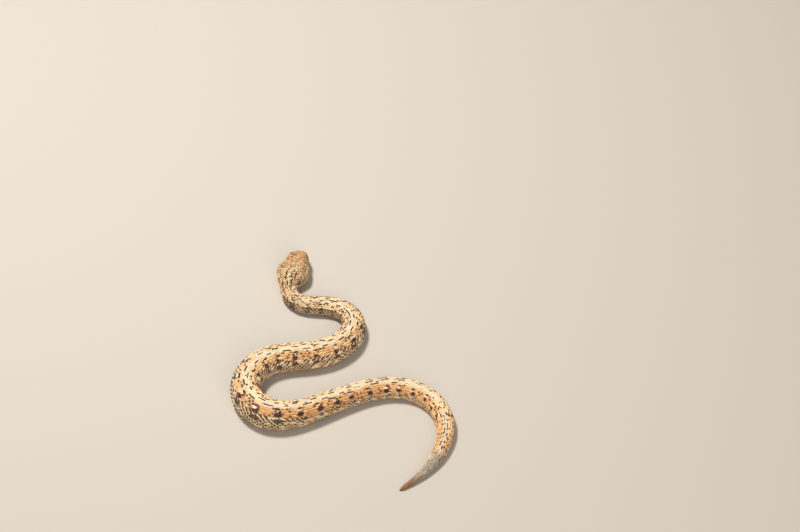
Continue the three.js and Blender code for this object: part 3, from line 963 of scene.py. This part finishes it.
def lip_band(reach):
    """1 where lip scales lie along the seam, 0 behind the corner of the mouth."""
    return 1 - ramp(MOUTH_CORNER - 0.4, MOUTH_CORNER + 0.8, along_at(reach))


column_reach = [FIRST_SCALE]
while column_reach[-1] < SKIN_LENGTH - 1.6:
    column_reach.append(column_reach[-1] + float(scale_pitch(along_at(column_reach[-1]))))
column_reach = np.array(column_reach)
column_middle = np.append((column_reach[1:] + column_reach[:-1]) / 2, column_reach[-1] + 0.3)


def scale_rows(low, high, first, last):
    """Roots of the keeled scales of a band of rows, between two distances along."""
    found = []
    for row in range(low, high + 1):
        reach = column_middle if row % 2 else column_reach
        side = roll(along_at(reach)) + row * row_pitch(along_at(reach))
        inside = abs(side) < jaw_seam(reach) - 0.75 * LIP_SCALE * lip_band(reach)
        inside &= (along_at(reach) >= first) & (along_at(reach) < last)
        found += [(reach[k], side[k], row, k) for k in np.nonzero(inside)[0]]
    reach, side, row, column = np.array(found).T
    share = side / half_girth(reach)
    here = on_grid(skin_grid, reach, share)
    clear = np.ones(len(reach), bool)
    for side_name in SIDES:
        nostril = at_spot(skin_grid, nostril_spots[side_name])
        clear &= np.linalg.norm(here - eyes[side_name][0], axis=1) > EYE_CLEAR
        clear &= np.linalg.norm(here - nostril, axis=1) > NOSTRIL_CLEAR
    along = along_at(reach)
    pitch, width = scale_pitch(along), row_pitch(along)
    tight = np.clip(on_grid(squeeze, reach, share), 0.25, 2)  # pressed scales lap more
    ahead = along + DRIFT_STEP
    drift = (roll(ahead) - roll(along)) + row * (row_pitch(ahead) - row_pitch(along))
    slant = FLANK_SLANT * np.sign(row) * ramp(2.5, 7, abs(row)) * ramp(20, 32, along)
    slant *= (1 - 0.7 * ramp(190, 220, along)) * ramp(-0.6, 1.8, jaw_seam(reach) - abs(side))
    size = [pitch * SCALE_LONG * tight**-0.55, width * SCALE_WIDE, pitch * SCALE_RISE * tight**0.25]
    roots = {
        "reach": reach,
        "side": side,
        "row": row,
        "column": column,
        "turn": np.arctan2(drift, DRIFT_STEP) + slant,
        "size": np.stack(size, -1),
    }
    return {key: value[clear] for key, value in roots.items()}


def give_cells(roots, strips):
    """Each scale's own cell in the flat map, by column and row on the unrolled band, cut into strips."""
    column = roots["column"] - roots["column"].min()
    row = roots["row"] - roots["row"].min()
    per_strip = np.ceil((column.max() + 1) / strips)
    rows = strips * (row.max() + 1)
    strip = column // per_strip
    u, v = (column % per_strip) / per_strip, (strip * (row.max() + 1) + row) / rows
    roots["cell"] = np.stack([u, v, np.zeros_like(u)], -1)
    roots["cell_size"] = np.array([1 / per_strip, 1 / rows])
    return roots


HEAD_END, TAIL_START = 19.5, 223
ALL_ROWS = 18
BANDS = {"left": (-ALL_ROWS, -5), "back": (-4, 4), "right": (5, ALL_ROWS)}
for seed, (band, (low, high)) in enumerate(BANDS.items(), 11):
    roots = give_cells(scale_rows(low, high, HEAD_END, TAIL_START), 4)
    lay(f"scales_{band}", keeled_scale, roots, keeled_material, seed, over_back)

# --- Scales of the head ---
# The crown and cheeks have small keeled scales like the back's, with blunter points and a lower keel, and
# less even in size. Vipers have no large plates on top of the head.


def blunt_lance(x):
    """Half width of a short scale with a blunt point."""
    return 0.06 + 0.44 * np.clip(1 - abs(2 * x - 0.96) ** 3, 0, 1) ** 0.6


head_scale = plate_shape("head_scale", KEELED_STEPS, KEELED_SIDES, blunt_lance, keeled(0.45, 0.5))
head_roots = give_cells(scale_rows(-ALL_ROWS, ALL_ROWS, 0, HEAD_END), 1)
lay("head_scales", head_scale, head_roots, keeled_material, 14, over_back, uneven=(0.1, 0.12))

# --- Scales of the tail ---
# The same keeled scales, fewer and smaller, over the short tail, whose last part is grey. A bare horny
# point ends it. Below, the scutes behind the vent are in pairs.

BARE_TIP = 1.5
tail_roots = give_cells(scale_rows(-ALL_ROWS, ALL_ROWS, TAIL_START, TOTAL_LENGTH - BARE_TIP), 2)
lay("tail_scales", keeled_scale, tail_roots, keeled_material, 21, over_back)


def shield(x):
    """Half width of a blunt shield."""
    return 0.5 * (1 - abs(2 * x - 1) ** 4) ** 0.25 + 0.02


def shield_height(x, y):
    return -0.3 + 1.3 * (1 - abs(2 * x - 1) ** 4) * (1 - 0.6 * y**4)


def lapped_height(x, y):
    return -0.35 + 1.35 * x**0.7 - 0.25 * y**4


def in_square_cells(told):
    """Roots told one by one, by reach, side, turn and size, each with a cell of a square flat map."""
    cells = int(np.ceil(np.sqrt(len(told))))
    number = np.arange(len(told))
    roots = {key: np.array(values) for key, values in zip(("reach", "side", "turn", "size"), zip(*told))}
    roots["cell"] = np.stack([number % cells, number // cells, number * 0], -1) / cells
    roots["cell_size"] = np.array([1 / cells, 1 / cells])
    return roots


PAIRED_SCUTE = 0.62  # half width of the two rows behind the vent, as a share of the scutes' half width
SHIELD_SIDES = (-1, -0.7, -0.3, 0.3, 0.7, 1)
SCUTE_RISE = 0.16
lapped_scale = plate_shape("lapped_scale", (0, 0.3, 0.6, 0.85, 1), SHIELD_SIDES, shield, lapped_height)
pairs = []
for reach in column_reach:
    along = float(along_at(reach))
    if TAIL_START + 0.5 < along < TOTAL_LENGTH - 2.5:
        wide, pitch = float(scute_half(along)), float(scale_pitch(along))
        size = (pitch * 1.7, wide * 1.15, pitch * SCUTE_RISE)
        for side in (-1, 1):
            pairs.append((reach + side * pitch / 4, side * wide * PAIRED_SCUTE * 0.82, 0.0, size))
pair_roots = in_square_cells(pairs)
lay("tail_scutes", lapped_scale, pair_roots, smooth_material, 22, over_belly)

# --- Belly scutes ---
# One row of wide smooth plates of thin pale horn from the throat to the vent, one to each column of the
# scales above. Their free rear edges grip the ground as the animal glides.

SCUTES_FROM = 15.5
SCUTE_LONG, SCUTE_WIDE = 1.5, 2.12  # shares of the distance between scutes and of the half width
SCUTE_STEPS, SCUTE_SIDES = (0, 0.35, 0.7, 0.92, 1), np.linspace(-1, 1, 13)


def scute_width(x):
    return 0.5 - 0.05 * x**6 - 0.03 * (1 - x) ** 2


scute = plate_shape("belly_scute", SCUTE_STEPS, SCUTE_SIDES, scute_width, lapped_height, cut_back=0.22)
scutes = []
for reach in column_reach:
    along = float(along_at(reach))
    if SCUTES_FROM < along < TAIL_START + 0.5:
        pitch = float(scale_pitch(along))
        wide = float(scute_half(along)) * min(1.0, 0.55 + (along - SCUTES_FROM) / 9)
        scutes.append((reach, 0.0, 0.0, (pitch * SCUTE_LONG, SCUTE_WIDE * wide, pitch * SCUTE_RISE)))
scute_roots = in_square_cells(scutes)
lay("belly_scutes", scute, scute_roots, smooth_material, 23, over_belly, uneven=(0.02, 0.01))

# --- Lips, chin and throat ---
# Smooth shields line both lips to the corner of the mouth. A broad one and its neighbours cap each jaw at
# the tip of the snout. Small smooth scales cover the throat between the jaws.

LIP_SCALES = 9
LIP_STEPS = (0, 0.12, 0.35, 0.65, 0.88, 1)
lip_shield = plate_shape("lip_shield", LIP_STEPS, SHIELD_SIDES, shield, shield_height)
skin_tree = BVHTree.FromPolygons(skin_points.tolist(), skin_faces)
PRESS_FROM = 5


def way_along(start, end):
    """The way along the midline from one distance along to another."""
    return np.diff(placed(np.array([start, end]), 0.0, 0.0), axis=0)[0]


snout_way = Vector(way_along(0.1, 0.0)).normalized()
snout_left = Vector((-snout_way.y, snout_way.x, 0))


def over_snout(flat):
    """Places on the skin of the snout's face, told by how far left and up they are from its tip."""
    found = []
    for left, up, _ in flat:
        start = Vector(end_points[0]) + snout_way * PRESS_FROM + snout_left * left + Vector((0, 0, up))
        place, way_out, _, _ = skin_tree.ray_cast(start, -snout_way)
        found.append((*place, *way_out))
    found = np.array(found)
    away = np.hypot(flat[:, 0], flat[:, 1])
    return found[:, :3], found[:, 3:], away, np.arctan2(-flat[:, 0], flat[:, 1]) / pi


SNOUT_SHIELDS = [  # left of the middle, above the tip, width, height
    (0, 0.14, 2.0, 0.8), (1.48, 0.12, 1.12, 0.78), (0, -0.76, 1.5, 0.74), (1.22, -0.7, 1.08, 0.7),
]
SHIELD_RISE = 0.14
snout = []
for middle, up, wide, high in SNOUT_SHIELDS:
    for side in (-1, 1) if middle else (1,):
        snout.append((side * middle, up, 0.0, (wide, high, SHIELD_RISE)))
snout_roots = in_square_cells(snout)
lay("snout_shields", lip_shield, snout_roots, shield_material, 27, over_snout, uneven=(0.0, 0.0))

LIPS = ((-1, 2.15, 0.13), (1, 1.9, 0.11))  # upper and lower: way from the seam, first reach, rise
lips = []
for side in (-1, 1):
    for lip, first, rise in LIPS:
        edges = np.linspace(first, reach_at(MOUTH_CORNER + 0.2), LIP_SCALES + 1)
        for reach, ahead in zip(edges[:-1], edges[1:]):
            middle = (reach + ahead) / 2
            drop = (jaw_seam(ahead) - jaw_seam(reach)) / (ahead - reach)
            away = jaw_seam(middle) + lip * LIP_SCALE * 0.53
            length = (ahead - reach) * np.hypot(1, drop) * 1.04
            size = (length, LIP_SCALE * 0.98, rise)
            lips.append((middle + 0.05 * length, side * away, side * np.arctan(drop), size))
lip_roots = in_square_cells(lips)
lay("lip_shields", lip_shield, lip_roots, shield_material, 24, over_back, uneven=(0.03, 0.01))

THROAT_ROW, THROAT_COLUMN = 0.68, 0.9
THROAT_SIZE = (THROAT_COLUMN * 1.7, THROAT_ROW * 1.6, 0.13)
throat = []
for row in range(-12, 13):
    away = abs(row) * THROAT_ROW
    for column in range(30):
        reach = 1.6 + THROAT_COLUMN * (column + (row % 2) / 2)
        along = float(along_at(reach))
        edge = float(half_girth(reach) - jaw_seam(reach) - 0.95 * LIP_SCALE * lip_band(reach))
        under_scutes = along > SCUTES_FROM and away < 0.4 + (along - SCUTES_FROM) * 0.6
        if along <= SCUTES_FROM + 3 and away < edge + 0.1 and not under_scutes:
            throat.append((reach, row * THROAT_ROW, 0.0, THROAT_SIZE))
lay("throat_scales", lapped_scale, in_square_cells(throat), smooth_material, 25, over_belly)

# --- Rims of the eyes and nostrils ---
# A ring of small bead-like scales borders each eye and each nostril. They are of the same horn as the lip
# shields, and overlap a little all the way round.

EYE_RIM, NOSTRIL_RIM = (13, 1.27, 0.68, 0.24), (7, 0.58, 0.5, 0.13)  # scales, radius, length and rise
RIM_OVERLAP = 1.02
rim_scale = plate_shape("rim_scale", (0, 0.15, 0.5, 0.85, 1), SHIELD_SIDES, shield, shield_height)
rims = []
for side_name in SIDES:
    for (reach, share), rim in ((eye_spots[side_name], EYE_RIM), (nostril_spots[side_name], NOSTRIL_RIM)):
        count, radius, length, rise = rim
        size = (length, 2 * pi * radius / count * RIM_OVERLAP, rise)
        for k in range(count):
            turn = 2 * pi * (k + 0.5) / count
            side = share * half_girth(reach) + radius * sin(turn)
            rims.append((reach + radius * cos(turn), side, turn, size))
rim_roots = in_square_cells(rims)
lay("eye_and_nostril_rims", rim_scale, rim_roots, shield_material, 26, over_back, uneven=(0.04, 0.03))

# --- Eyes ---
# Each eye is a ball under a clear fixed spectacle, with no lid. The iris is sand-coloured with dark
# speckles, and the pupil is an upright slit.

EYE_RINGS, EYE_SEGMENTS = 28, 40
IRIS_PAINT, IRIS_SPECKLE, IRIS_EDGE = paint(150, 113, 72), paint(58, 40, 26), paint(48, 34, 24)
PUPIL_PAINT = (0.004, 0.004, 0.005, 1.0)
PUPIL_HALF_WIDTH, PUPIL_HALF_HEIGHT = 0.13, 0.62
PUPIL_SOFTNESS = 0.02
IRIS_RADIUS, IRIS_EDGE_WIDTH = 0.95, 0.12
SPECKLE_GRAIN = 5200  # waves for each metre

eye_material, tree = new_material("eye")
place = attribute(tree, "iris", "Vector")
upright, level, _ = put(tree, "ShaderNodeSeparateXYZ", {0: place}).outputs
tall = calculated("POWER", calculated("DIVIDE", upright, PUPIL_HALF_HEIGHT), 2.0)
beyond = less(calculated("ABSOLUTE", level), product(less(1.0, tall), PUPIL_HALF_WIDTH))
from_middle = put(tree, "ShaderNodeVectorMath", {0: place}, operation="LENGTH").outputs["Value"]
colour = mixed(ramped(noise(tree, SPECKLE_GRAIN, 3.0), 0.52, 0.66), IRIS_PAINT, IRIS_SPECKLE)
colour = mixed(ramped(from_middle, IRIS_RADIUS - IRIS_EDGE_WIDTH, IRIS_RADIUS), colour, IRIS_EDGE)
colour = mixed(ramped(beyond, -PUPIL_SOFTNESS, PUPIL_SOFTNESS), PUPIL_PAINT, colour)
give_surface(tree, {"Base Color": colour, "Roughness": 0.4, "Coat Weight": 0.45, "Coat Roughness": 0.1})

# One ball for both eyes, told by how far up, along the body and outwards each point is.
tilts = np.linspace(0, pi, EYE_RINGS + 1)[1:-1, None]
turns = 2 * pi * np.arange(EYE_SEGMENTS) / EYE_SEGMENTS
rings = [np.cos(turns) * np.sin(tilts), np.sin(turns) * np.sin(tilts), np.cos(tilts) + 0 * turns]
ball = np.concatenate([np.stack(rings, -1).reshape(-1, 3), [(0, 0, 1), (0, 0, -1)]])
front, rear = len(ball) - 2, len(ball) - 1
last_ring = (EYE_RINGS - 2) * EYE_SEGMENTS
ball_faces = []
for j in range(EYE_SEGMENTS):
    after = (j + 1) % EYE_SEGMENTS
    for a in range(0, last_ring, EYE_SEGMENTS):
        b = a + EYE_SEGMENTS
        ball_faces.append((a + j, a + after, b + after, b + j))
    ball_faces += [(front, after, j), (rear, last_ring + j, last_ring + after)]

for side_name, (centre, axis) in eyes.items():
    along_body = way_along(EYE_ALONG - 0.1, EYE_ALONG + 0.1)
    level_line = along_body - axis * (along_body @ axis)
    level_line /= np.linalg.norm(level_line)
    points = centre + EYE_RADIUS * ball @ np.stack([np.cross(axis, level_line), level_line, axis])
    eye = new_piece(f"eye_ball_{side_name}", points, ball_faces, eye_material)
    set_attribute(eye.data, "iris", "FLOAT_VECTOR", ball * [1, 1, 0])
    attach(eye, "root")
    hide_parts(f"eye_{side_name}")
